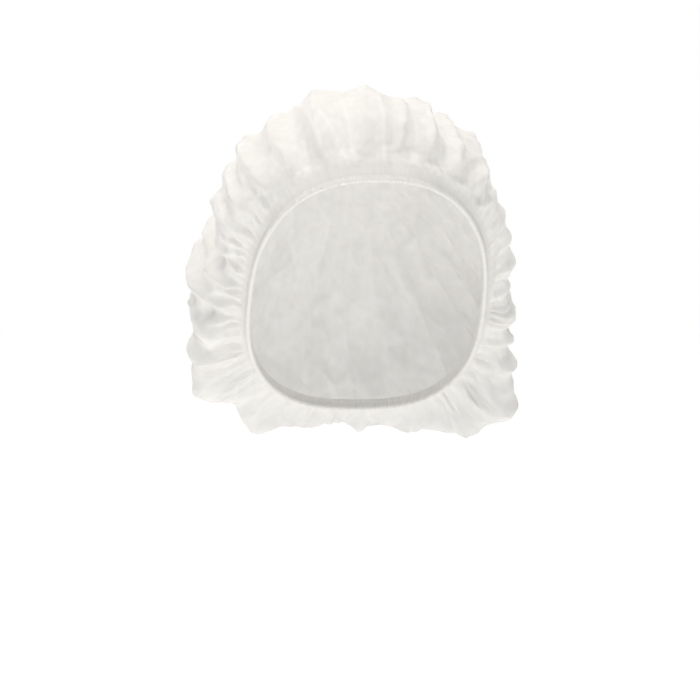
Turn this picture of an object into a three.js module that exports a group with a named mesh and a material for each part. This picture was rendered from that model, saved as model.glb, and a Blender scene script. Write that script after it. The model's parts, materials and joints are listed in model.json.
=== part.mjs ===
// Bouffant cap: a disc of thin white nonwoven cloth, gathered into a narrow folded hem by a loop of
// flat elastic, in the puffed shape that it has on a head. Millimetres, +Z up. The face opening looks
// towards -Y, and the origin is the middle of the hem's loop.

import * as THREE from "three";

const { degToRad, lerp, smoothstep } = THREE.MathUtils;

// Driving dimensions, in millimetres, and in degrees where the name says so
const CLOTH = 1; // wall that stands for the thin cloth
const GAP = 0.3; // clearance between pieces that lie against each other

// The hem is one strip of cloth folded round the elastic and the crown's edge
const HEM = { height: 7.5, fold: 1 };
const ELASTIC = { height: 3.5, thickness: 1 };

// The hem makes a loop round the head, and its plane rises from the nape to the forehead
const TILT_DEG = 46;

// A table: its columns by name, then a row of values for each section or fold
function table(columns, ...rows) {
  const names = columns.split(" ");
  return rows.map((row) => Object.fromEntries(names.map((name, i) => [name, row[i]])));
}

// The crown without its folds, in sections parallel to the hem's plane, from the hem's mouth to the
// middle of the disc. along: share of the way up. rise: height over the hem's plane. Widths and reaches
// are measured from the loop's middle, a higher power makes that half of the section squarer, and aside
// is how far the section has slumped towards +X.
const SECTIONS = table(
  "along rise frontWidth backWidth frontReach backReach frontPower backPower aside",
  [0, 8, 67.5, 74, 96.5, 97, 2.4, 2.7, 1],
  [0.05, 11.4, 72, 80, 100, 111, 2.3, 3.2, 0.5],
  [0.12, 17.5, 77, 97, 105.5, 127, 2.05, 4.8, -0.5],
  [0.22, 33, 78, 102, 114, 132, 1.9, 5, -1.5],
  [0.36, 58, 79, 95, 109.5, 121, 1.95, 3.8, -4],
  [0.52, 85, 70, 73, 91, 93, 2, 2.6, -4],
  [0.7, 110, 48, 48, 61, 57, 2, 2.2, -3],
  [0.86, 122, 24, 24, 31, 27, 2, 2, -1],
  [1, 125, 0, 0, 0, 0, 2, 2, 0],
);

// Pleats round the crown, from the forehead towards +X. crease: the angle where the crease before the
// pleat leaves the hem. turn: how far that crease has turned half way up. bulge: how far the ridge between
// this crease and the next stands out. fades: where, on the way up, the pleat has gone.
const PLEATS = table(
  "crease turn bulge fades",
  [2, 8, 3, 0.6],
  [12, 3, 6, 0.95],
  [21, 6, 5.5, 0.85],
  [31, 8, 5, 0.75],
  [43, 8, 4, 0.9],
  [55, 5, 3.5, 0.6],
  [64, 2, 5, 0.9],
  [77, 1, 3, 0.7],
  [90, 0, 3, 0.85],
  [102, 0, 4, 0.65],
  [115, 2, 6, 0.9],
  [126, 0, 5, 0.7],
  [135, -1, 5, 0.95],
  [145, -2, 6, 0.8],
  [157, 1, 5, 0.9],
  [170, 2, 6, 0.75],
  [184, -1, 5, 0.95],
  [198, 0, 6, 0.7],
  [213, 2, 5, 0.85],
  [226, 0, 7, 0.65],
  [239, 3, 5, 0.9],
  [252, -1, 5, 0.75],
  [265, -3, 5, 0.9],
  [278, -5, 4, 0.7],
  [291, -6, 4, 0.85],
  [304, -9, 5, 0.7],
  [316, -11, 5, 0.9],
  [328, -9, 5, 0.8],
  [338, -5, 7, 0.8],
  [349, 5, 3.5, 0.95],
);

// Broad swells of the slack cloth, and dents where out is below zero, each round a place on the crown
const SWELLS = table(
  "angle along spreadAngle spreadAlong out",
  [145, 0.15, 13, 0.09, 17],
  [202, 0.14, 8, 0.07, 7],
  [215, 0.15, 6, 0.08, -8],
  [226, 0.18, 6, 0.08, 5],
  [259, 0.28, 9, 0.12, 6],
  [276, 0.31, 8, 0.1, -8],
  [36, 0.42, 12, 0.1, 1.5],
  [14, 0.5, 7, 0.1, -2],
  [95, 0.58, 24, 0.1, -3],
  [190, 0.5, 26, 0.12, -5],
  [250, 0.62, 22, 0.1, -3],
  [160, 0.68, 30, 0.08, 3],
);

// The pleats have opened to their full bulge this share of the way up
const PLEATS_OPEN = 0.16;

const STEPS_PER_PLEAT = 4;
const STEPS_UP = 17;
const STEPS_ROUND = PLEATS.length * STEPS_PER_PLEAT;

// The hem's plane: x runs across the face, FORWARD from the nape to the forehead, OUT away from the head
const TILT = degToRad(TILT_DEG);
const ACROSS = new THREE.Vector3(1, 0, 0);
const FORWARD = new THREE.Vector3(0, -Math.cos(TILT), Math.sin(TILT));
const UP_OUT = new THREE.Vector3(0, Math.sin(TILT), Math.cos(TILT));

function inPlane(x, forward, rise) {
  return new THREE.Vector3()
    .addScaledVector(ACROSS, x)
    .addScaledVector(FORWARD, forward)
    .addScaledVector(UP_OUT, rise);
}

// A point of a section's outline, seen from the loop's middle at an angle from the forehead
function outline(section, angle) {
  const toBack = (1 - Math.cos(angle)) / 2;
  const power = lerp(section.frontPower, section.backPower, toBack);
  const width = lerp(section.frontWidth, section.backWidth, toBack);
  const reach = Math.cos(angle) > 0 ? section.frontReach : section.backReach;
  if (reach === 0) return new THREE.Vector2(0, 0);
  const share = Math.abs(Math.cos(angle) / reach) ** power + Math.abs(Math.sin(angle) / width) ** power;
  const radius = share ** (-1 / power);
  return new THREE.Vector2(radius * Math.sin(angle) + section.aside, radius * Math.cos(angle));
}

// The section at any share of the way up, by a smooth curve through the table's rows
const COLUMNS = Object.keys(SECTIONS[0]);
const betweenSections = new THREE.CubicInterpolant(
  SECTIONS.map((row) => row.along),
  SECTIONS.flatMap((row) => COLUMNS.map((column) => row[column])),
  COLUMNS.length,
);

function sectionAt(along) {
  const values = betweenSections.evaluate(along);
  return Object.fromEntries(COLUMNS.map((column, i) => [column, values[i]]));
}

function crownPoint(angle, along) {
  const section = sectionAt(along);
  const { x, y } = outline(section, angle);
  return inPlane(x, y, section.rise);
}

// The angle of each line round the crown, in degrees: a few lines to a pleat, which follow its creases up
function lineAngle(line, along) {
  const turned = smoothstep(along, 0, 0.5);
  const crease = (index) => {
    const row = PLEATS[index % PLEATS.length];
    return row.crease + row.turn * turned + 360 * Math.floor(index / PLEATS.length);
  };
  const pleat = Math.floor(line / STEPS_PER_PLEAT);
  return lerp(crease(pleat), crease(pleat + 1), (line % STEPS_PER_PLEAT) / STEPS_PER_PLEAT);
}

// How far a line stands out from the crown without folds
function standsOut(line, along) {
  const pleat = PLEATS[Math.floor(line / STEPS_PER_PLEAT)];
  const share = (line % STEPS_PER_PLEAT) / STEPS_PER_PLEAT;
  const fading = 1 - smoothstep(along, 0.45 * pleat.fades, pleat.fades);
  let out = pleat.bulge * (1 - Math.abs(Math.cos(Math.PI * share))) * fading;
  for (const swell of SWELLS) {
    const round = THREE.MathUtils.euclideanModulo(lineAngle(line, along) - swell.angle + 180, 360) - 180;
    const up = along - swell.along;
    out += swell.out * Math.exp(-((round / swell.spreadAngle) ** 2) - (up / swell.spreadAlong) ** 2);
  }
  return out * smoothstep(along, 0, PLEATS_OPEN);
}

const LINES = [...Array(STEPS_ROUND).keys()];

// The middle of the crown's wall, row by row from the hem's mouth, with the pleats pushed out along
// the normals of the unpleated crown
function crownMiddle() {
  const rows = [];
  for (let step = 0; step < STEPS_UP; step++) {
    const along = (step / STEPS_UP) ** 1.35;
    const nudge = 0.01;
    rows.push(
      LINES.map((line) => {
        const angle = degToRad(lineAngle(line, along));
        const point = crownPoint(angle, along);
        const round = crownPoint(angle + nudge, along).sub(crownPoint(angle - nudge, along));
        const upward = crownPoint(angle, along + nudge).sub(crownPoint(angle, Math.max(0, along - nudge)));
        const outward = round.cross(upward).normalize();
        return point.addScaledVector(outward, standsOut(line, along));
      }),
    );
  }
  return rows;
}

// Normals of a grid of points that closes on itself round the cap
function gridNormals(rows) {
  return rows.map((row, r) =>
    row.map((point, i) => {
      const before = rows[Math.max(0, r - 1)][i];
      const after = rows[Math.min(rows.length - 1, r + 1)][i];
      const left = row[(i + row.length - 1) % row.length];
      const right = row[(i + 1) % row.length];
      return right.clone().sub(left).cross(after.clone().sub(before)).normalize();
    }),
  );
}

// A closed surface from rows of points round the cap. A row of one point is a pole.
function skin(rows, closesOnItself) {
  const positions = rows.flat().flatMap((point) => point.toArray());
  const starts = [];
  rows.reduce((start, row) => (starts.push(start), start + row.length), 0);
  const index = [];
  const bands = closesOnItself ? rows.length : rows.length - 1;
  for (let r = 0; r < bands; r++) {
    const [lower, upper] = [r, (r + 1) % rows.length];
    const at = (row, i) => starts[row] + (i % rows[row].length);
    for (const i of LINES) {
      const [a, b, c, d] = [at(lower, i), at(lower, i + 1), at(upper, i + 1), at(upper, i)];
      if (rows[lower].length > 1) index.push(a, b, c);
      if (rows[upper].length > 1) index.push(a, c, d);
    }
  }
  const geometry = new THREE.BufferGeometry();
  geometry.setAttribute("position", new THREE.Float32BufferAttribute(positions, 3));
  geometry.setIndex(index);
  geometry.computeVertexNormals();
  return geometry;
}

// A closed section of {out, rise} points, carried round the hem's loop
function roundTheRim(section) {
  const rows = section.map(({ out, rise }) =>
    LINES.map((line) => {
      const angle = degToRad(lineAngle(line, 0));
      const nudge = 0.01;
      const here = outline(SECTIONS[0], angle);
      const along = outline(SECTIONS[0], angle + nudge).sub(outline(SECTIONS[0], angle - nudge)).normalize();
      return inPlane(here.x - along.y * out, here.y + along.x * out, rise);
    }),
  );
  return skin(rows, true);
}

// The crown: the wall's outer face from its edge in the hem to the middle of the disc, and its inner face back
function crownGeometry() {
  const edgeRise = HEM.fold + GAP + ELASTIC.height + GAP;
  const middle = crownMiddle();
  const tucked = middle[0].map((point) => point.clone().addScaledVector(UP_OUT, edgeRise - SECTIONS[0].rise));
  const rows = [tucked, ...middle];
  const normals = gridNormals(rows);
  const face = (side) =>
    rows.map((row, r) => row.map((point, i) => point.clone().addScaledVector(normals[r][i], (side * CLOTH) / 2)));
  const top = (side) => [inPlane(0, 0, SECTIONS.at(-1).rise + (side * CLOTH) / 2)];
  const outer = face(1);
  const inner = face(-1).reverse();
  return skin([top(-1), ...inner, ...outer, top(1)], false);
}

// The hem: a strip folded up on both sides, with its mouth towards the crown
function hemGeometry() {
  const room = CLOTH / 2 + GAP;
  const side = room + CLOTH;
  return roundTheRim([
    { out: -side, rise: HEM.fold },
    { out: -room, rise: 0 },
    { out: room, rise: 0 },
    { out: side, rise: HEM.fold },
    { out: side, rise: HEM.height },
    { out: room, rise: HEM.height },
    { out: room, rise: HEM.fold },
    { out: -room, rise: HEM.fold },
    { out: -room, rise: HEM.height },
    { out: -side, rise: HEM.height },
  ]);
}

// The elastic: a flat band that lies in the bottom of the fold
function elasticGeometry() {
  const half = ELASTIC.thickness / 2;
  const bottom = HEM.fold + GAP;
  return roundTheRim([
    { out: -half, rise: bottom },
    { out: half, rise: bottom },
    { out: half, rise: bottom + ELASTIC.height },
    { out: -half, rise: bottom + ELASTIC.height },
  ]);
}

function piece(name, geometry, look) {
  const mesh = new THREE.Mesh(geometry, new THREE.MeshStandardMaterial(look));
  mesh.name = name;
  return mesh;
}

const cap = new THREE.Group();
cap.add(piece("crown", crownGeometry(), { color: 0xf2f0ec, roughness: 0.85, metalness: 0 }));
cap.add(piece("hem", hemGeometry(), { color: 0xefece6, roughness: 0.85, metalness: 0 }));
cap.add(piece("elastic", elasticGeometry(), { color: 0xf0e9d8, roughness: 0.7, metalness: 0 }));

export default cap;
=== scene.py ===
# %% [markdown]
# A bouffant cap, in cells.
# The real cap is a disc of thin white spunbond cloth. Its edge is folded into a narrow hem, and a loop of
# elastic in the hem gathers the disc into a bag that puffs up over the hair. The imported solids are loaded
# first, because every piece here goes where they are.

# %% Load the frame
import json
import math

import bpy
import numpy as np
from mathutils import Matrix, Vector
from mathutils.geometry import delaunay_2d_cdt

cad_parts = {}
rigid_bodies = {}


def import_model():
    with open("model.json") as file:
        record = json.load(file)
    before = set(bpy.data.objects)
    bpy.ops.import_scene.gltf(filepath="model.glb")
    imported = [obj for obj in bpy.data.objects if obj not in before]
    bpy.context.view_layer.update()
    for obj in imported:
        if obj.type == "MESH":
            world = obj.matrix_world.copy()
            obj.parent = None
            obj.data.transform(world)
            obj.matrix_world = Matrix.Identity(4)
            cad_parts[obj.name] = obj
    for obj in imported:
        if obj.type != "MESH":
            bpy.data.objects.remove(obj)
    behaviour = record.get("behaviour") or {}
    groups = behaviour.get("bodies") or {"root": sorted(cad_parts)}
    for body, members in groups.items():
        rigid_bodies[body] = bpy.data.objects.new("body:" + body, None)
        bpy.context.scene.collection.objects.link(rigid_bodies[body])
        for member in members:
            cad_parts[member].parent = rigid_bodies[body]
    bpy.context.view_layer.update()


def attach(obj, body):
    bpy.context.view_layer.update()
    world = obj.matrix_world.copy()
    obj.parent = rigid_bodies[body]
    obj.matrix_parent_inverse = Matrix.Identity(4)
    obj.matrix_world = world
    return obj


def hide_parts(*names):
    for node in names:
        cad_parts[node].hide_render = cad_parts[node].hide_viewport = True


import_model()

MM = 0.001
SEED = 20

# %% [markdown]
# The camera looks at the cap's front from a little to its left, and from hardly above it. A long lens from
# 1.6 m keeps the sides of the bag from shrinking. The view is moved sideways in its own plane, so that the
# cap stands where it should in a square picture, and the lens needs no shift.

# %% Camera
LOOK_AZIMUTH = math.radians(-5)
LOOK_ELEVATION = math.radians(2)
CAMERA_AWAY = 1600 * MM
PICTURE_SIDE = 700  # pixels
PIXEL = 0.6 * MM  # at the origin
ORIGIN_PIXEL = (366, 300)

view_back = Vector((
    math.sin(LOOK_AZIMUTH) * math.cos(LOOK_ELEVATION),
    -math.cos(LOOK_AZIMUTH) * math.cos(LOOK_ELEVATION),
    math.sin(LOOK_ELEVATION),
))
view_right = Vector((math.cos(LOOK_AZIMUTH), math.sin(LOOK_AZIMUTH), 0))
view_up = view_back.cross(view_right)
look_at = (
    view_right * (PICTURE_SIDE / 2 - ORIGIN_PIXEL[0]) * PIXEL
    - view_up * (PICTURE_SIDE / 2 - ORIGIN_PIXEL[1]) * PIXEL
)
camera_data = bpy.data.cameras.new("camera")
camera_data.lens = camera_data.sensor_width * CAMERA_AWAY / (PICTURE_SIDE * PIXEL)
camera_data.clip_start = 0.05
camera = bpy.data.objects.new("camera", camera_data)
camera.location = look_at + view_back * CAMERA_AWAY
camera.rotation_euler = (-view_back).to_track_quat("-Z", "Y").to_euler()
bpy.context.scene.collection.objects.link(camera)
bpy.context.scene.camera = camera
print("camera lens", round(camera_data.lens, 1), "mm")

# %% [markdown]
# A white cap on white needs light from all round, or its folds go grey. The world gives that, and the camera
# sees it as plain white. Two large soft lamps above the cap, one of them further to the front, shape the
# folds with a slightly warm light, and a weak one from behind shines through the cloth. The floor is a pale
# disc well below the cap, and glows a little, so that it has no edge against the white of the world.

# %% Studio
WORLD_GLOW = 0.52
WHITE = (1, 1, 1)
WARM_WHITE = (1, 0.955, 0.89)
FLOOR_HEIGHT = -0.184
FLOOR_RADIUS = 6
FLOOR_GLOW = 0.5

scene = bpy.context.scene
scene.view_settings.view_transform = "Standard"
world = bpy.data.worlds.new("white_studio")
world.use_nodes = True
room = world.node_tree
glow = room.nodes["Background"]
glow.inputs["Color"].default_value = (*WHITE, 1)
glow.inputs["Strength"].default_value = WORLD_GLOW
backdrop = room.nodes.new("ShaderNodeBackground")
backdrop.inputs["Color"].default_value = (*WHITE, 1)
backdrop.inputs["Strength"].default_value = 1
seen = room.nodes.new("ShaderNodeLightPath")
either = room.nodes.new("ShaderNodeMixShader")
room.links.new(seen.outputs["Is Camera Ray"], either.inputs[0])
room.links.new(glow.outputs[0], either.inputs[1])
room.links.new(backdrop.outputs[0], either.inputs[2])
room.links.new(either.outputs[0], room.nodes["World Output"].inputs["Surface"])
scene.world = world


def soft_lamp(name, place, size, power, colour):
    """A round lamp that points at the origin. Its place and size are in metres, its power in watts."""
    data = bpy.data.lights.new(name, "AREA")
    data.shape = "DISK"
    data.size = size
    data.energy = power
    data.color = colour
    lamp = bpy.data.objects.new(name, data)
    lamp.location = place
    lamp.rotation_euler = (-Vector(place)).to_track_quat("-Z", "Y").to_euler()
    scene.collection.objects.link(lamp)


soft_lamp("top_lamp", (-0.3, -0.1, 1.6), 0.6, 14.5, WARM_WHITE)
soft_lamp("front_lamp", (-0.1, -0.6, 1.4), 0.6, 6, WARM_WHITE)
soft_lamp("rear_lamp", (-1.1, 1.2, 0.5), 0.5, 1.6, WHITE)

floor_middle = (0, 0, FLOOR_HEIGHT)
bpy.ops.mesh.primitive_circle_add(vertices=96, radius=FLOOR_RADIUS, fill_type="NGON", location=floor_middle)
floor = bpy.context.object
floor.name = "floor"
print("floor at", FLOOR_HEIGHT, "m")

# %% [markdown]
# The crown is the bag itself. Without its folds it is a stack of rounded sections parallel to the hem's
# plane, which rises from the back to the front. A short table holds the sections, the same one that the
# solids use, and a smooth curve through its rows gives every section between. Modelling the bag by hand
# would look as good, but then the cloth and the solids would drift apart.

# %% The crown's sections
TILT = math.radians(46)
ACROSS = np.array([1, 0, 0])
FORWARD = np.array([0, -math.cos(TILT), math.sin(TILT)])
UP_OUT = np.array([0, math.sin(TILT), math.cos(TILT)])


def table(columns, *rows):
    """Columns by name, from rows of numbers."""
    return dict(zip(columns.split(), np.array(rows, float).T))


SECTIONS = table(
    "along rise front_width back_width front_reach back_reach front_power back_power aside",
    (0, 8, 67.5, 74, 96.5, 97, 2.4, 2.7, 1),
    (0.05, 11.4, 72, 80, 100, 111, 2.3, 3.2, 0.5),
    (0.12, 17.5, 77, 97, 105.5, 127, 2.05, 4.8, -0.5),
    (0.22, 33, 78, 102, 114, 132, 1.9, 5, -1.5),
    (0.36, 58, 79, 95, 109.5, 121, 1.95, 3.8, -4),
    (0.52, 85, 70, 73, 91, 93, 2, 2.6, -4),
    (0.7, 110, 48, 48, 61, 57, 2, 2.2, -3),
    (0.86, 122, 24, 24, 31, 27, 2, 2, -1),
    (1, 125, 0, 0, 0, 0, 2, 2, 0),
)


def between_sections(column, along):
    """A column of the table at any share of the way up, on a smooth curve through its rows."""
    at, value = SECTIONS["along"], SECTIONS[column]
    step = np.diff(value) / np.diff(at)
    slope = np.concatenate([step[:1], (step[1:] + step[:-1]) / 2, step[-1:]])
    row = np.clip(np.searchsorted(at, along, side="right") - 1, 0, len(at) - 2)
    width = at[row + 1] - at[row]
    t = (along - at[row]) / width
    rise = value[row + 1] - value[row]
    bend_in = slope[row] * width - rise
    bend_out = rise - slope[row + 1] * width
    return value[row] + t * rise + t * (1 - t) * ((1 - t) * bend_in + t * bend_out)


def in_plane(x, forward, rise):
    """A point from the loop's middle: across the opening, to the front, and out of its plane, in mm."""
    return (x[..., None] * ACROSS + forward[..., None] * FORWARD + rise[..., None] * UP_OUT) * MM


def smooth_bag(angle, along):
    """The bag without folds, at an angle from the front and a share of the way up."""
    angle, along = np.broadcast_arrays(angle, along)
    size = {column: between_sections(column, along) for column in SECTIONS}
    to_back = (1 - np.cos(angle)) / 2
    power = size["front_power"] + (size["back_power"] - size["front_power"]) * to_back
    width = np.maximum(size["front_width"] + (size["back_width"] - size["front_width"]) * to_back, 1e-6)
    reach = np.maximum(np.where(np.cos(angle) > 0, size["front_reach"], size["back_reach"]), 1e-6)
    radius = (np.abs(np.cos(angle) / reach) ** power + np.abs(np.sin(angle) / width) ** power) ** (-1 / power)
    return in_plane(radius * np.sin(angle) + size["aside"], radius * np.cos(angle), size["rise"])


def bag_normals(angle, along, nudge=0.01):
    """Unit vectors that point out of the bag, from the slopes between points a nudge apart."""
    higher = np.minimum(along + nudge, 0.999)
    lower = np.maximum(along - nudge, 0)
    round_it = smooth_bag(angle + nudge, along) - smooth_bag(angle - nudge, along)
    up_it = smooth_bag(angle, higher) - smooth_bag(angle, lower)
    normal = np.cross(round_it, up_it)
    return normal / np.maximum(np.linalg.norm(normal, axis=-1, keepdims=True), 1e-12)


RIM_STEPS = 4000
rim_turn = np.linspace(0, 2 * math.pi, RIM_STEPS + 1)
rim_steps = np.linalg.norm(np.diff(smooth_bag(rim_turn, 0), axis=0), axis=1)
rim_walk = np.concatenate([[0], np.cumsum(rim_steps)])
RIM_LENGTH = rim_walk[-1]


def rim_angles(count):
    """Angles at equal steps along the hem's loop."""
    return np.interp(np.arange(count) / count * RIM_LENGTH, rim_walk, rim_turn)


def rim_outward(angle, nudge=0.01):
    """Unit vectors that point out of the hem's loop, in its plane."""
    outward = np.cross(smooth_bag(angle + nudge, 0) - smooth_bag(angle - nudge, 0), UP_OUT)
    return outward / np.linalg.norm(outward, axis=-1, keepdims=True)


print("hem loop", round(RIM_LENGTH / MM), "mm long")

# %% [markdown]
# The gathered cloth stands out in pleats. Each has a crease on either side, which leaves the hem at an angle
# and turns a little on the way up, and a bulge between them that fades towards the top. Broad swells and
# dents stand for the slack cloth that has slumped to the sides and the back. These are the main folds, and
# again the tables are the solids' own.

# %% The crown's main folds
PLEATS = table(
    "crease turn bulge fades",
    (2, 8, 3, 0.6),
    (12, 3, 6, 0.95),
    (21, 6, 5.5, 0.85),
    (31, 8, 5, 0.75),
    (43, 8, 4, 0.9),
    (55, 5, 3.5, 0.6),
    (64, 2, 5, 0.9),
    (77, 1, 3, 0.7),
    (90, 0, 3, 0.85),
    (102, 0, 4, 0.65),
    (115, 2, 6, 0.9),
    (126, 0, 5, 0.7),
    (135, -1, 5, 0.95),
    (145, -2, 6, 0.8),
    (157, 1, 5, 0.9),
    (170, 2, 6, 0.75),
    (184, -1, 5, 0.95),
    (198, 0, 6, 0.7),
    (213, 2, 5, 0.85),
    (226, 0, 7, 0.65),
    (239, 3, 5, 0.9),
    (252, -1, 5, 0.75),
    (265, -3, 5, 0.9),
    (278, -5, 4, 0.7),
    (291, -6, 4, 0.85),
    (304, -9, 5, 0.7),
    (316, -11, 5, 0.9),
    (328, -9, 5, 0.8),
    (338, -5, 7, 0.8),
    (349, 5, 3.5, 0.95),
)
SWELLS = table(
    "angle along spread_angle spread_along out",
    (145, 0.15, 13, 0.09, 17),
    (202, 0.14, 8, 0.07, 7),
    (215, 0.15, 6, 0.08, -8),
    (226, 0.18, 6, 0.08, 5),
    (259, 0.28, 9, 0.12, 6),
    (276, 0.31, 8, 0.1, -8),
    (36, 0.42, 12, 0.1, 1.5),
    (14, 0.5, 7, 0.1, -2),
    (95, 0.58, 24, 0.1, -3),
    (190, 0.5, 26, 0.12, -5),
    (250, 0.62, 22, 0.1, -3),
    (160, 0.68, 30, 0.08, 3),
)
FOLDS_OPEN = 0.16  # share of the way up over which the folds open
TURNED_BY = 0.5  # share of the way up where a crease has made its turn
FADE_FROM = 0.45  # a pleat begins to fade at this share of its own length


def rows_of(columns):
    """The rows of a table, each as a dictionary."""
    return [dict(zip(columns, row)) for row in zip(*columns.values())]


def smoothly(value, low, high):
    """0 below low, 1 above high, and a smooth step between."""
    t = np.clip((value - low) / (high - low), 0, 1)
    return t * t * (3 - 2 * t)


def main_folds(angle, along):
    """How far the main folds stand out from the smooth bag, in mm."""
    degrees = np.degrees(angle) % 360
    turned = smoothly(along, 0, TURNED_BY)
    pleats = rows_of(PLEATS)
    out = np.zeros(np.broadcast(angle, along).shape)
    for pleat, after in zip(pleats, pleats[1:] + pleats[:1]):
        start = pleat["crease"] + pleat["turn"] * turned
        width = (after["crease"] + after["turn"] * turned - start) % 360
        share = np.clip(((degrees - start) % 360) / width, 0, 1)
        fading = 1 - smoothly(along, FADE_FROM * pleat["fades"], pleat["fades"])
        out += pleat["bulge"] * (1 - np.abs(np.cos(math.pi * share))) * fading
    for swell in rows_of(SWELLS):
        round_it = (degrees - swell["angle"] + 180) % 360 - 180
        up_it = along - swell["along"]
        away = (round_it / swell["spread_angle"]) ** 2 + (up_it / swell["spread_along"]) ** 2
        out += swell["out"] * np.exp(-away)
    return out * smoothly(along, 0, FOLDS_OPEN)


print(len(PLEATS["crease"]), "pleats,", len(SWELLS["angle"]), "swells and dents")

# %% [markdown]
# Thin spunbond keeps every crease it has had, like paper: flat facets that meet in straight, sharp lines. So
# corners are scattered over the flat disc, each a little higher or lower than its neighbours, and joined into
# triangles. The height anywhere follows from its triangle's three corners. Facets in three sizes, from coarse
# to fine, are added up. An edge between two high corners is a crest, and the nearness to such an edge is kept
# as well, for a painted highlight along the crest that also stands for bent fibres turning white. Noise could
# roughen the bag too, but noise is round everywhere, and these creases are not.

# %% Creases
CROWN_RADIUS = 208  # of the flat disc inside the hem, mm
CREASES = table(
    "spacing out seed",
    (38, 6, 68),
    (17, 2.4, 5),
    (9, 1.2, 11),
)
# The painted highlight along a crest reaches this far on either side of it.
CREST_WIDTH = 2.4  # of the whitened cloth on either side of a crest, mm
LATTICE_ROWS = 0.87  # distance between the rows of corners, as a share of their spacing
STRAY = 0.42  # how far a corner may stray from its place, as a share of the spacing


def on_disc(angle, along):
    """Where a place on the bag lay on the flat disc, in mm."""
    turn = np.interp(angle % (2 * math.pi), rim_turn, rim_walk) / RIM_LENGTH * 2 * math.pi
    return np.stack([np.sin(turn), -np.cos(turn)], -1) * (CROWN_RADIUS * (1 - along))[..., None]


def crumpled(flat, spacing, out, seed):
    """Heights of a crumpled sheet at points on the flat disc, and how near each is to a crest, 0 to 1."""
    random = np.random.default_rng(int(seed))
    edge = CROWN_RADIUS + 2 * spacing
    across, up = np.meshgrid(np.arange(-edge, edge, spacing), np.arange(-edge, edge, spacing * LATTICE_ROWS))
    across = across + (np.arange(len(up)) % 2)[:, None] * spacing / 2
    corners = np.stack([across.ravel(), up.ravel()], 1)
    corners = corners + random.uniform(-STRAY, STRAY, corners.shape) * spacing
    level = random.uniform(-1, 1, len(corners))
    places, _, faces, sources, *_ = delaunay_2d_cdt([Vector(c) for c in corners], [], [], 0, 1e-6)
    corners = np.array([tuple(place) for place in places])
    level = level[[source[0] for source in sources]]

    order = np.argsort(flat[..., 0].ravel())
    spots = flat.reshape(-1, 2)[order]
    height = np.zeros(len(spots))
    ridge = np.zeros(len(spots))
    for face in faces:
        a, b, c = corners[face]
        face_across = corners[face][:, 0]
        first, last = np.searchsorted(spots[:, 0], [face_across.min(), face_across.max()])
        parts = np.linalg.solve(np.array([b - a, c - a]).T, (spots[first:last] - a).T)
        parts = np.concatenate([[1 - parts.sum(0)], parts])
        inside = parts.min(0) >= -1e-9
        here = np.arange(first, last)[inside]
        parts = parts[:, inside]
        height[here] = level[face] @ parts
        sides = np.linalg.norm([c - b, a - c, b - a], axis=1)
        from_side = parts * (abs(np.linalg.det([b - a, c - a])) / sides)[:, None]
        raised = np.clip((level[face].sum() - level[face]) / 2, 0, 1)
        ridge[here] = (np.clip(1 - from_side / CREST_WIDTH, 0, 1) * raised[:, None]).max(0)
    back = np.argsort(order)
    return height[back].reshape(flat.shape[:-1]) * out, ridge[back].reshape(flat.shape[:-1])


print(len(CREASES["spacing"]), "sizes of facets")

# %% [markdown]
# Some creases are plain to see and belong in their places: the upright ones at the front, a curved one at the
# left, two that slant up at the right, and those that fan out from the two lower ends of the bag. Each is a
# straight line on the flat disc, so a few lines in a row make a curved one. The cloth rises to a sharp crest
# along it, and spread is how far from the line it has come down again.

# %% Fold lines
CREST_POWER = 1.5  # over 1, a fold is steepest beside its crest
FOLD_LINES = table(
    "angle along to_angle to_along out spread",
    (346, 0.03, 343, 0.25, 1.8, 11),
    (343, 0.25, 336, 0.5, 1.8, 13),
    (351, 0.02, 346, 0.3, 1.4, 9),
    (353, 0.03, 353, 0.36, 1.6, 11),
    (2.5, 0.02, 4, 0.4, 1.8, 12),
    (13, 0.02, 13, 0.27, 2, 11),
    (23, 0.02, 18.5, 0.33, 1.8, 12),
    (317, 0.02, 314, 0.13, 2, 10),
    (314, 0.13, 314, 0.24, 2, 10),
    (314, 0.24, 316, 0.37, 1.6, 10),
    (300, 0.04, 297, 0.3, 2, 12),
    (17, 0.02, 23, 0.06, 2.6, 14),
    (23, 0.06, 38, 0.24, 3, 15),
    (28, 0.02, 33, 0.06, 2.4, 12),
    (33, 0.06, 41, 0.2, 2.8, 14),
    (41, 0.02, 48, 0.13, 2.2, 11),
    (297, 0.02, 289, 0.17, 1.8, 8),
    (292, 0.02, 284, 0.13, 1.8, 8),
    (282, 0.02, 265, 0.22, 2.2, 12),
    (244, 0.03, 235, 0.22, 3, 16),
    (232, 0.03, 222, 0.16, 3, 16),
    (212, 0.04, 205, 0.13, 2.6, 14),
    (123, 0.03, 121, 0.16, 3, 15),
    (134, 0.04, 131, 0.16, 3, 15),
    (137, 0.06, 141, 0.15, 2.6, 12),
)


def folded(flat):
    """Heights of the fold lines at points on the flat disc, and how near each point is to a crest, 0 to 1."""
    height = np.zeros(flat.shape[:-1])
    crest = np.zeros(flat.shape[:-1])
    for line in rows_of(FOLD_LINES):
        first = on_disc(np.radians(line["angle"]), np.array(line["along"]))
        last = on_disc(np.radians(line["to_angle"]), np.array(line["to_along"]))
        way = last - first
        share = np.clip((flat - first) @ way / (way @ way), 0, 1)
        away = np.linalg.norm(flat - first - share[..., None] * way, axis=-1)
        height = np.maximum(height, line["out"] * np.clip(1 - away / line["spread"], 0, 1) ** CREST_POWER)
        crest = np.maximum(crest, np.clip(1 - away / CREST_WIDTH, 0, 1))
    return height, crest


print(len(FOLD_LINES["angle"]), "fold lines")

# %% [markdown]
# The mesh is a grid: lines that run up the bag, at equal steps along the hem, and rings from the hem to the
# middle of the disc. The cloth isn't equally slack all over it. It is drawn smooth at the front and on top,
# and there is too much of it at the sides and the back. Masks from 0 to 1 over the grid say what is where.

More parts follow.
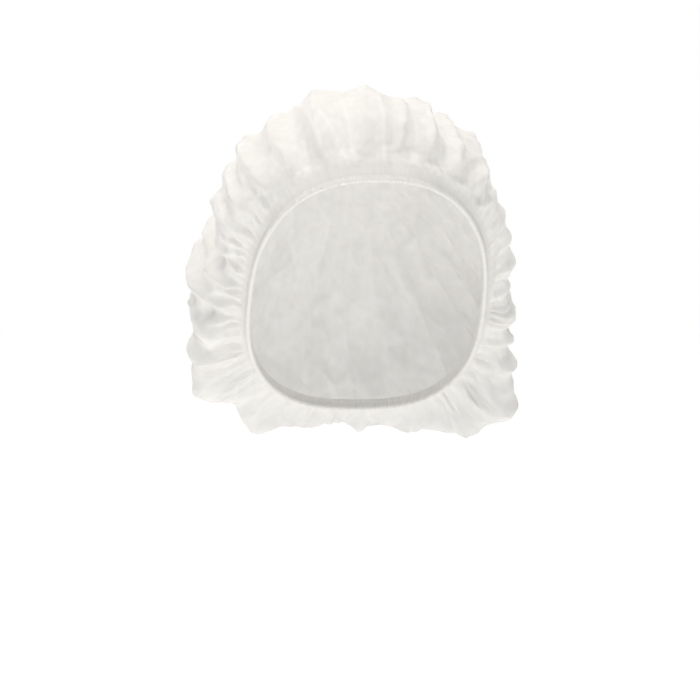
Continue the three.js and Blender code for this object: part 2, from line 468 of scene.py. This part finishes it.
# %% The crown's grid and its slack
LINES = 440
ROWS = 109
FRONT_POWER = 1.5  # a higher power makes the front narrower
BACK_POWER = 6
FRONT_CALM = 0.5  # share of the slack that is missing at the front
TOP_CALM = 0.45  # share of the slack that is missing on top
TOP_FROM, TOP_FULL = 0.45, 0.8  # shares of the way up
HEM_REACH = 0.2  # share of the way up over which the hem holds the folds down
HEM_HOLDS = 0.5  # share of the main folds that it holds down at the sides, against all at the front

line_angle = rim_angles(LINES)
angle, along = np.meshgrid(line_angle, np.arange(ROWS) / ROWS)
disc = on_disc(angle, along)
front = np.maximum(np.cos(angle), 0) ** FRONT_POWER
back = np.maximum(-np.cos(angle), 0) ** BACK_POWER
slack = (1 - FRONT_CALM * front) * (1 - TOP_CALM * smoothly(along, TOP_FROM, TOP_FULL))
near_hem = 1 - smoothly(along, 0, HEM_REACH)
print("slack from", round(slack.min(), 2), "to", round(slack.max(), 2))

# %% [markdown]
# Between the main folds, the elastic packs the edge of the disc into about a hundred fine gathers. Each has
# its own width, height and length, drawn once from a seeded generator, and dies out on its way up. They are
# flatter at the front and in the middle of the back, where the hem runs straight across.

# %% Gathers
GATHERS = 104
GATHER_OUT = 0.85  # usual height, mm
GATHER_WIDTHS = (0.55, 1.45)  # least and most, as shares of the usual width
GATHER_HEIGHTS = (0.3, 1.7)  # least and most, as shares of the usual height
GATHER_LENGTHS = (0.07, 0.26)  # shares of the way up
GATHER_FADES_FROM = 0.3  # a gather begins to fade at this share of its length
GATHER_CALM = 0.6  # share of the height that is missing at the front and the back
EDGE_SHARE = 0.6  # of a gather's height at the hem, and twice that once it is free of the hem
FREE_OF_HEM = 0.05  # share of the way up

random = np.random.default_rng(SEED)
gather_widths = random.uniform(*GATHER_WIDTHS, GATHERS)
gather_ends = np.cumsum(gather_widths) / gather_widths.sum()
gather_out = random.uniform(*GATHER_HEIGHTS, GATHERS) * GATHER_OUT
gather_lengths = random.uniform(*GATHER_LENGTHS, GATHERS)

line_share = np.arange(LINES) / LINES
gather = np.searchsorted(gather_ends, line_share, side="right")
gather_start = np.concatenate([[0], gather_ends])[gather]
gather_share = (line_share - gather_start) / (gather_ends[gather] - gather_start)
length = gather_lengths[gather]
fine = gather_out[gather] * np.sin(2 * math.pi * gather_share)
fine = fine * (1 - GATHER_CALM * front - GATHER_CALM * back)
fine = fine * (EDGE_SHARE + EDGE_SHARE * smoothly(along, 0, FREE_OF_HEM))
fine = fine * (1 - smoothly(along, GATHER_FADES_FROM * length, length))
print(GATHERS, "gathers, up to", round(np.abs(fine).max(), 2), "mm high")

# %% [markdown]
# Now the folds, creases, fold lines and gathers are added up and stand out from the smooth bag along its
# normals. The edge of the crown is tucked into the hem: a few more rings lead it down between the hem's legs,
# and it flares out above them. Each point remembers where it lay on the flat disc, in a UV map, so that the
# cloth's own pattern follows the cut, and how near it is to a crest, where a highlight is painted.

# %% The crown's mesh
CUT_SQUARE = 500  # side of the square that the UV map covers, mm
CREASES_OPEN = 0.1  # share of the way up over which the creases open
FOLD_LINES_OPEN = (-0.03, 0.05)  # so they are partly open at the hem
# This sets how strong the painted highlight is on the crests of the facets.
RIDGE_SHOWS = 0.7  # how white the crests of the facets are, against those of the fold lines
EDGE_OUT = 4.4  # flare where the crown leaves the hem, mm
EDGE_REACH = 0.14  # share of the way up over which the flare goes
TUCK = table(
    "out rise",
    (1, 2),
    (1.45, 3.1),
    (2.4, 4.6),
    (3.4, 6.3),
)
TUCK_ROWS = len(TUCK["out"])
RINGS = TUCK_ROWS + ROWS
MOUTH_RISE = SECTIONS["rise"][0]

crumples = [crumpled(disc, **row) for row in rows_of(CREASES)]
creases = sum(height for height, _ in crumples) * slack * smoothly(along, 0, CREASES_OPEN)
ridge = np.max([ridge for _, ridge in crumples[1:]], 0) * (1 - front)
lines_out, crest = folded(disc)
crest = np.maximum(crest, RIDGE_SHOWS * ridge)
held_down = (HEM_HOLDS + (1 - HEM_HOLDS) * front) * near_hem
folds = main_folds(angle, along) * (1 - held_down) + creases * (1 - front * near_hem)
out = folds + lines_out * smoothly(along, *FOLD_LINES_OPEN) + fine
start = smooth_bag(angle, along) + bag_normals(angle, along) * (out * MM)[..., None]
outward = rim_outward(line_angle) * MM
start += outward * (EDGE_OUT * (1 - smoothly(along, 0, EDGE_REACH)))[..., None]
rim = smooth_bag(line_angle, 0)
tuck = []
for row in rows_of(TUCK):
    ripple = fine[0] * (row["rise"] - TUCK["rise"][0]) / (MOUTH_RISE - TUCK["rise"][0])
    tuck.append(rim + outward * (row["out"] + ripple)[:, None] + UP_OUT * MM * (row["rise"] - MOUTH_RISE))
points = np.concatenate([np.array(tuck), start]).reshape(-1, 3)
pole = start[-1].mean(0)
points = np.concatenate([points, [pole]])


def grid_faces(rings, around, pole):
    """Quads between rings of points, and triangles to a pole after the last ring."""
    here = np.arange(around)
    after = (here + 1) % around
    faces = []
    for ring in range(rings - 1):
        low, high = ring * around, (ring + 1) * around
        faces += np.stack([low + here, low + after, high + after, high + here], 1).tolist()
    if pole:
        last = (rings - 1) * around
        faces += np.stack([last + here, last + after, np.full(around, rings * around)], 1).tolist()
    return faces


def new_piece(name, points, faces):
    mesh = bpy.data.meshes.new(name)
    mesh.from_pydata(points.tolist(), [], faces)
    piece = bpy.data.objects.new(name, mesh)
    scene.collection.objects.link(piece)
    return piece


def set_cut(mesh, flat):
    """A UV map that holds where each point lay on the flat cloth. flat is in mm, one row for each point."""
    layer = mesh.uv_layers.new(name="cut")
    corner = np.empty(len(mesh.loops), int)
    mesh.loops.foreach_get("vertex_index", corner)
    layer.data.foreach_set("uv", (0.5 + flat[corner] / CUT_SQUARE).ravel())


crown = new_piece("cap_crown", points, grid_faces(RINGS, LINES, True))
flat = np.concatenate([disc[:1]] * TUCK_ROWS + [disc]).reshape(-1, 2)
set_cut(crown.data, np.concatenate([flat, np.zeros((1, 2))]))
crest = np.concatenate([np.zeros(TUCK_ROWS * LINES), crest.ravel(), [0]])
# The crest attribute is the mask of the painted highlight along the crests.
crown.data.attributes.new("crest", "FLOAT", "POINT").data.foreach_set("value", crest)
print("crown grid:", RINGS, "rings of", LINES, "points")

# %% [markdown]
# Thin cloth crumples where there is too much of it. Blender's Cloth does that here: the edge is pinned, every
# other point is held near its place, and the cloth is told to grow. It can't spread, so it buckles. It moves
# by about a millimetre at most, and adds small wrinkles to the creases that are there already. A vertex group
# says where it is slack: most at the sides and the back, least at the front and on top, where it is drawn
# smooth. The result is copied into the mesh and the Cloth is removed.

# %% Let the crown crumple
SETTLE_FRAMES = 14
HOLD = 0.3  # how firmly a free point is held near its place, against 1 for a pinned one
PINNED_TO = 0.06  # share of the way up over which the pinned edge becomes free
LEAST_GROWTH, MOST_GROWTH = 0.015, 0.07
FURTHEST_MOVE = 9 * MM


def read_points(mesh):
    values = np.empty(len(mesh.vertices) * 3)
    mesh.vertices.foreach_get("co", values)
    return values.reshape(-1, 3)


def weigh(piece, name, weights):
    """A vertex group with a weight for each point."""
    group = piece.vertex_groups.new(name=name)
    for point, weight in enumerate(weights):
        group.add([point], float(weight), "REPLACE")


def crumple(piece, hold, slack):
    """Let the cloth grow where it is slack, and keep the points where they have come to."""
    before = read_points(piece.data)
    weigh(piece, "hold", hold)
    weigh(piece, "slack", slack)
    cloth = piece.modifiers.new("Cloth", "CLOTH")
    how = cloth.settings
    how.quality = 6
    how.mass = 0.1
    how.tension_stiffness = how.compression_stiffness = 15
    how.shear_stiffness = 5
    how.bending_stiffness = 0.5
    how.air_damping = 2
    how.vertex_group_mass = "hold"
    how.vertex_group_shrink = "slack"
    how.shrink_min, how.shrink_max = -LEAST_GROWTH, -MOST_GROWTH
    how.effector_weights.gravity = 0
    cloth.collision_settings.use_collision = False
    cloth.collision_settings.use_self_collision = False
    for step in range(1, SETTLE_FRAMES + 1):
        scene.frame_set(step)
    settled = read_points(piece.evaluated_get(bpy.context.evaluated_depsgraph_get()).data)
    scene.frame_set(1)
    piece.modifiers.remove(cloth)
    piece.vertex_groups.clear()
    move = settled - before
    far = np.linalg.norm(move, axis=1, keepdims=True)
    move *= np.minimum(1, FURTHEST_MOVE / np.maximum(far, 1e-9))
    piece.data.vertices.foreach_set("co", (before + move).ravel())
    piece.data.update()
    usual, most = far.mean() / MM, far.max() / MM
    print(piece.name, "moved", round(usual, 2), "mm on average,", round(most, 1), "at most")


hold = HOLD + (1 - HOLD) * (1 - smoothly(along, 0, PINNED_TO))
crumple(
    crown,
    np.concatenate([np.ones(TUCK_ROWS * LINES), hold.ravel(), [HOLD]]),
    np.concatenate([np.zeros(TUCK_ROWS * LINES), slack.ravel(), [0]]),
)

# %% [markdown]
# A wall of a fifth of a millimetre is enough for cloth. Solidify gives it to both faces of the grid at once,
# and the result is made a plain mesh.

# %% The crown's wall
CLOTH = 0.2 * MM


def make_plain(piece):
    """The piece with its modifiers worked into its mesh."""
    bpy.context.view_layer.update()
    old = piece.data
    mesh = bpy.data.meshes.new_from_object(piece.evaluated_get(bpy.context.evaluated_depsgraph_get()))
    piece.modifiers.clear()
    piece.data = mesh
    mesh.name = piece.name
    bpy.data.meshes.remove(old)
    mesh.shade_smooth()
    mesh.calc_loop_triangles()
    print(piece.name, "has", len(mesh.loop_triangles), "triangles")


def give_wall(piece, thickness):
    """The piece, half of the thickness to either side of its sheet."""
    wall = piece.modifiers.new("wall", "SOLIDIFY")
    wall.thickness = thickness
    wall.offset = 0
    make_plain(piece)


give_wall(crown, CLOTH)

# %% [markdown]
# Materials and Geometry Nodes are both trees of nodes. A few short functions make a tree with named sockets,
# add a node with its inputs, do sums and blend colours, so that the cells below say what a tree does and not
# how it is wired.

# %% A small kit for node trees
def new_tree(name, kind, inputs, outputs):
    tree = bpy.data.node_groups.new(name, kind)
    for socket_name, socket_type, value in inputs:
        socket = tree.interface.new_socket(socket_name, in_out="INPUT", socket_type=socket_type)
        if value is not None:
            socket.default_value = value
    for socket_name, socket_type in outputs:
        tree.interface.new_socket(socket_name, in_out="OUTPUT", socket_type=socket_type)
    return tree


def add_node(tree, kind, sockets=None, **settings):
    """A node with its settings, and its inputs by name or number: a value, or another node's output."""
    made = tree.nodes.new(kind)
    for key, value in settings.items():
        setattr(made, key, value)
    for key, value in (sockets or {}).items():
        if isinstance(value, bpy.types.NodeSocket):
            tree.links.new(value, made.inputs[key])
        else:
            made.inputs[key].default_value = value
    return made


def calculate(tree, operation, first, second=0.0):
    return add_node(tree, "ShaderNodeMath", {0: first, 1: second}, operation=operation).outputs[0]


def remap(tree, value, low, high, to_low, to_high, **settings):
    """A value moved from one range to another."""
    ranges = {"Value": value, "From Min": low, "From Max": high, "To Min": to_low, "To Max": to_high}
    return add_node(tree, "ShaderNodeMapRange", ranges, **settings).outputs[0]


def two_tone(tree, share, first, second):
    """A colour between two others, by a share from 0 to 1."""
    return add_node(tree, "ShaderNodeMix", {0: share, 6: first, 7: second}, data_type="RGBA").outputs[2]


def set_inputs(modifier, **values):
    """Values for a Geometry Nodes modifier, each put on its socket by the socket's identifier."""
    for item in modifier.node_group.interface.items_tree:
        if item.in_out == "INPUT" and item.name in values:
            modifier[item.identifier] = values[item.name]


# %% [markdown]
# Spunbond cloth is a mat of fine fibres, welded together at a lattice of tiny points. Both show only close
# up: the points as small pressed dots, the fibres as a faint streaky grain, with cloudy thick and thin
# patches. The crown and the hem share this, so it is one node group, which reads the flat cut from the UV
# map and gives a colour, a roughness and a height. A photograph of cloth could do it, but wouldn't follow the
# cut.

# %% Spunbond group
WELD_MIDDLE, WELD_RIM = 0.16, 0.3  # of a point, as shares of the lattice
ALONG_FIBRES, ACROSS_FIBRES = 260.0, 2100.0  # how fine the grain is
THINNEST, THICKEST = 0.35, 0.8  # sums of clouds and grain that get the two colours
ROUGHNESS = 0.86

spunbond = new_tree(
    "spunbond",
    "ShaderNodeTree",
    [
        ("Thin Colour", "NodeSocketColor", (0.8, 0.8, 0.8, 1)),
        ("Thick Colour", "NodeSocketColor", (0.9, 0.9, 0.9, 1)),
        # This colour is a painted highlight along the crests; a strength further down sets how much of it
        # shows.
        ("Crest Highlight Colour", "NodeSocketColor", (0.99, 0.985, 0.98, 1)),
        ("Points", "NodeSocketFloat", 400.0),
        ("Clouds", "NodeSocketFloat", 40.0),
        ("Crest Highlight", "NodeSocketFloat", 0.6),
    ],
    [("Colour", "NodeSocketColor"), ("Roughness", "NodeSocketFloat"), ("Height", "NodeSocketFloat")],
)
given = add_node(spunbond, "NodeGroupInput").outputs
cut = add_node(spunbond, "ShaderNodeUVMap", uv_map="cut").outputs[0]
slanted = {"Vector": cut, "Angle": math.radians(45)}
turned = add_node(spunbond, "ShaderNodeVectorRotate", slanted, rotation_type="Z_AXIS").outputs[0]
dots = {"Vector": turned, "Scale": given["Points"], "Randomness": 0.0}
lattice = add_node(spunbond, "ShaderNodeTexVoronoi", dots, voronoi_dimensions="2D").outputs["Distance"]
weld = remap(spunbond, lattice, WELD_MIDDLE, WELD_RIM, 1.0, 0.0, interpolation_type="SMOOTHSTEP")
patches = {"Vector": cut, "Scale": given["Clouds"], "Detail": 3.0}
clouds = add_node(spunbond, "ShaderNodeTexNoise", patches).outputs[0]


def fibres(stretch):
    """Noise drawn out into streaks."""
    spread = add_node(spunbond, "ShaderNodeMapping", {"Vector": cut, "Scale": stretch}).outputs[0]
    streaks = {"Vector": spread, "Scale": 1.0, "Detail": 4.0}
    return add_node(spunbond, "ShaderNodeTexNoise", streaks).outputs[0]


def share_of(value, share):
    return calculate(spunbond, "MULTIPLY", value, share)


one_way = fibres((ALONG_FIBRES, ACROSS_FIBRES, 1.0))
other_way = fibres((ACROSS_FIBRES, ALONG_FIBRES, 1.0))
grain = calculate(spunbond, "MAXIMUM", one_way, other_way)
thick = calculate(spunbond, "ADD", share_of(clouds, 0.7), share_of(grain, 0.4))
thick = remap(spunbond, thick, THINNEST, THICKEST, 0.0, 1.0)
thick = calculate(spunbond, "SUBTRACT", thick, share_of(weld, 0.25))
colour = two_tone(spunbond, thick, given["Thin Colour"], given["Thick Colour"])
# Near a crest the colour is blended towards a whiter one: a painted highlight where light catches the crest
# and shines through doubled cloth, also standing for bent fibres that turn white.
near_crest = add_node(spunbond, "ShaderNodeAttribute", attribute_name="crest").outputs["Fac"]
crest_highlight = calculate(spunbond, "MULTIPLY", near_crest, given["Crest Highlight"])
colour = two_tone(spunbond, crest_highlight, colour, given["Crest Highlight Colour"])
rough = calculate(spunbond, "SUBTRACT", ROUGHNESS, share_of(weld, 0.3))
relief = calculate(spunbond, "SUBTRACT", share_of(grain, 0.5), share_of(weld, 0.6))
add_node(spunbond, "NodeGroupOutput", {"Colour": colour, "Roughness": rough, "Height": relief})
print("spunbond group has", len(spunbond.nodes), "nodes")

# %% [markdown]
# The cloth lets about half of the light through, scattered. A Principled shader gives the near face, a
# Translucent one the light from behind, and they are mixed. The hem has several layers, so it lets less
# through, and the elastic in it gives it a warm tint. Its colours are also a little darker: painted shade.

# %% Cloth materials
POINT_PITCH = 1.3  # mm
CLOUDS = 85.0
BUMP_STRENGTH = 0.35
BUMP_HEIGHT = 0.12 * MM


def cloth_material(name, thin, thick, through):
    """Spunbond from its colours where thin and thick, and the share of light that comes through."""
    material = bpy.data.materials.new(name)
    material.use_nodes = True
    tree = material.node_tree
    face = tree.nodes["Principled BSDF"]
    face.inputs["Sheen Weight"].default_value = 0.15
    face.inputs["Sheen Roughness"].default_value = 0.5
    face.inputs["Specular IOR Level"].default_value = 0.25
    pattern = {
        "Thin Colour": thin,
        "Thick Colour": thick,
        "Points": CUT_SQUARE / POINT_PITCH,
        "Clouds": CLOUDS,
    }
    cloth = add_node(tree, "ShaderNodeGroup", pattern, node_tree=spunbond).outputs
    bumps = {"Height": cloth["Height"], "Strength": BUMP_STRENGTH, "Distance": BUMP_HEIGHT}
    bumpy = add_node(tree, "ShaderNodeBump", bumps).outputs[0]
    tree.links.new(cloth["Colour"], face.inputs["Base Color"])
    tree.links.new(cloth["Roughness"], face.inputs["Roughness"])
    tree.links.new(bumpy, face.inputs["Normal"])
    from_behind = {"Color": cloth["Colour"], "Normal": bumpy}
    behind = add_node(tree, "ShaderNodeBsdfTranslucent", from_behind).outputs[0]
    mix = add_node(tree, "ShaderNodeMixShader", {0: through, 1: face.outputs[0], 2: behind})
    tree.links.new(mix.outputs[0], tree.nodes["Material Output"].inputs["Surface"])
    return material


def wear(piece, material):
    piece.data.materials.clear()
    piece.data.materials.append(material)


crown_cloth = cloth_material("crown_spunbond", (0.871, 0.867, 0.857, 1), (0.941, 0.938, 0.931, 1), 0.56)
# The hem's colours are a little darker than the crown's: painted shade that keeps the lit edge of its fold
# from looking brighter than the crown.
hem_cloth = cloth_material("hem_spunbond_shaded", (0.858, 0.852, 0.84, 1), (0.928, 0.922, 0.912, 1), 0.4)
wear(crown, crown_cloth)
print("made", crown_cloth.name, "and", hem_cloth.name)

# %% [markdown]
# The hem is a strip of the same cloth, folded up on both sides of the elastic. Its section is a straight
# inner leg, a round fold, and a short outer leg that opens a little for the crown's edge. A strip that
# follows the loop is made as a grid, with its share of the way round kept as an attribute for the ribs that
# come next.

# %% The hem's strip
HEM_HEIGHT = 7.5  # of the inner leg, mm
OUTER_HEIGHT = 3  # above this, the outer leg is the crown's own cloth
HEM_HALF = 1.3  # half of the hem's thickness
HEM_FLARE = 0.5  # the outer leg opens this much for the crown's edge
HEM_WALL = 0.35 * MM
LEG_STEPS = 6
FOLD_STEPS = 7
RIBS = 340
STEPS_PER_RIB = 6
GATHERED = CROWN_RADIUS * MM * 2 * math.pi / RIM_LENGTH

fold_turn = np.linspace(math.pi, 2 * math.pi, FOLD_STEPS)
leg = np.linspace(0, 1, LEG_STEPS, endpoint=False)
inner_leg = HEM_HEIGHT + (HEM_HALF - HEM_HEIGHT) * leg
outer_leg = OUTER_HEIGHT + (HEM_HALF - OUTER_HEIGHT) * leg[::-1]
outer_out = HEM_HALF + HEM_FLARE * (1 - leg[::-1])
section_out = np.concatenate([np.full(LEG_STEPS, -HEM_HALF), HEM_HALF * np.cos(fold_turn), outer_out])
section_rise = np.concatenate([inner_leg, HEM_HALF + HEM_HALF * np.sin(fold_turn), outer_leg])
hem_count = RIBS * STEPS_PER_RIB
hem_angle = rim_angles(hem_count)


def beside_rim(angle, out, rise):
    """Points beside the hem's loop: out from it in its plane, and up from its lower edge, in mm."""
    return smooth_bag(angle, 0) + rim_outward(angle) * out * MM + UP_OUT * (rise - MOUTH_RISE) * MM


hem_points = np.array([beside_rim(hem_angle, out, rise) for out, rise in zip(section_out, section_rise)])
hem = new_piece("cap_hem", hem_points.reshape(-1, 3), grid_faces(len(section_out), hem_count, False))
strip_walk = np.concatenate([[0], np.cumsum(np.hypot(np.diff(section_out), np.diff(section_rise)))])
hem_share = np.tile(np.arange(hem_count) / hem_count, len(section_out))
set_cut(hem.data, np.stack([hem_share * RIM_LENGTH / MM * GATHERED, np.repeat(strip_walk, hem_count)], 1))
hem.data.attributes.new("round", "FLOAT", "POINT").data.foreach_set("value", hem_share)
print("hem strip", round(strip_walk[-1], 1), "mm wide, gathered", round(GATHERED, 2), "to 1")

# %% [markdown]
# The elastic draws the hem into fine ribs. They repeat along a path, so Geometry Nodes make them: a sine wave
# of the share of the way round pushes the strip out and in along its normals, noise moves its phase and
# changes its height, and so no two ribs are the same. Sculpting three hundred ribs by hand would take far
# longer, and the number of ribs couldn't be changed afterwards.

# %% Ribs on the hem
RIB_DEPTH = 0.15 * MM
RIB_UNEVENNESS = 1.3
RIB_NOISE = 160.0  # how soon the unevenness changes along the hem
ribs = new_tree(
    "hem_ribs",
    "GeometryNodeTree",
    [
        ("Geometry", "NodeSocketGeometry", None),
        ("Count", "NodeSocketInt", 100),
        ("Depth", "NodeSocketFloat", 0.0003),
        ("Unevenness", "NodeSocketFloat", 1.0),
        ("Seed", "NodeSocketFloat", 0.0),
        ("Material", "NodeSocketMaterial", None),
    ],
    [("Geometry", "NodeSocketGeometry")],
)
given = add_node(ribs, "NodeGroupInput").outputs
way_round = add_node(ribs, "GeometryNodeInputNamedAttribute", {"Name": "round"}, data_type="FLOAT")
changes = {"Scale": RIB_NOISE, "W": given["Seed"]}
uneven = add_node(ribs, "ShaderNodeTexNoise", changes, noise_dimensions="4D").outputs[0]
phase = calculate(ribs, "MULTIPLY", way_round.outputs[0], given["Count"])
phase = calculate(ribs, "ADD", phase, calculate(ribs, "MULTIPLY", uneven, given["Unevenness"]))
wave = calculate(ribs, "SINE", calculate(ribs, "MULTIPLY", phase, 2 * math.pi))
depth = calculate(ribs, "MULTIPLY", given["Depth"], calculate(ribs, "ADD", uneven, 0.5))
height = calculate(ribs, "MULTIPLY", wave, depth)
normal = add_node(ribs, "GeometryNodeInputNormal").outputs[0]
push = add_node(ribs, "ShaderNodeVectorMath", {0: normal, "Scale": height}, operation="SCALE").outputs[0]
ribbed = add_node(ribs, "GeometryNodeSetPosition", {"Geometry": given["Geometry"], "Offset": push}).outputs[0]
real = add_node(ribs, "GeometryNodeRealizeInstances", {"Geometry": ribbed}).outputs[0]
dressed = add_node(ribs, "GeometryNodeSetMaterial", {"Geometry": real, "Material": given["Material"]})
add_node(ribs, "NodeGroupOutput", {"Geometry": dressed.outputs[0]})

rib_maker = hem.modifiers.new("ribs", "NODES")
rib_maker.node_group = ribs
set_inputs(rib_maker, Count=RIBS, Depth=RIB_DEPTH, Unevenness=RIB_UNEVENNESS)
set_inputs(rib_maker, Seed=float(SEED), Material=hem_cloth)
give_wall(hem, HEM_WALL)

# %% [markdown]
# The elastic lies out of sight in the fold. Its solid is right as it is, a flat band, and gets the finish of
# a braided elastic: off-white, with fine lengthwise cords. The floor gets a faint cloudiness, so that it
# isn't one flat colour.

# %% Elastic and floor
def plain_material(name, roughness):
    """A material, its node tree, and the inputs of its Principled shader."""
    material = bpy.data.materials.new(name)
    material.use_nodes = True
    inputs = material.node_tree.nodes["Principled BSDF"].inputs
    inputs["Roughness"].default_value = roughness
    return material, material.node_tree, inputs


braid, tree, face = plain_material("white_braid", 0.75)
place_on = add_node(tree, "ShaderNodeTexCoord").outputs["Object"]
lengthwise = {"Vector": place_on, "Scale": 420.0, "Distortion": 1.5}
cords = add_node(tree, "ShaderNodeTexWave", lengthwise).outputs["Fac"]
off_white = two_tone(tree, cords, (0.9, 0.885, 0.86, 1), (0.95, 0.94, 0.925, 1))
tree.links.new(off_white, face["Base Color"])
corded = add_node(tree, "ShaderNodeBump", {"Height": cords, "Strength": 0.4, "Distance": 0.2 * MM}).outputs[0]
tree.links.new(corded, face["Normal"])
for elastic in [o for o in scene.objects if o.name.split(".")[0] == "elastic"]:
    wear(elastic, braid)
    print(elastic.name, "wears", braid.name)

pale, tree, face = plain_material("pale_floor", 0.9)
face["Emission Color"].default_value = (*WHITE, 1)
face["Emission Strength"].default_value = FLOOR_GLOW
place_on = add_node(tree, "ShaderNodeTexCoord").outputs["Object"]
mottle = add_node(tree, "ShaderNodeTexNoise", {"Vector": place_on, "Scale": 3.0}).outputs[0]
paint = two_tone(tree, mottle, (0.94, 0.94, 0.94, 1), (0.98, 0.98, 0.98, 1))
tree.links.new(paint, face["Base Color"])
wear(floor, pale)

# %% [markdown]
# Last, each piece is tied to the frame. The row has no joints, because the cap's only motions are the give of
# its cloth and its elastic, so everything rides on the one body. The crown and the hem take the place of
# their solids.

# %% Tie the pieces to the frame
for piece, node, slot in ((crown, "crown", "crown_cloth"), (hem, "hem", "hem_cloth")):
    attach(piece, "root")
    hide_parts(node)
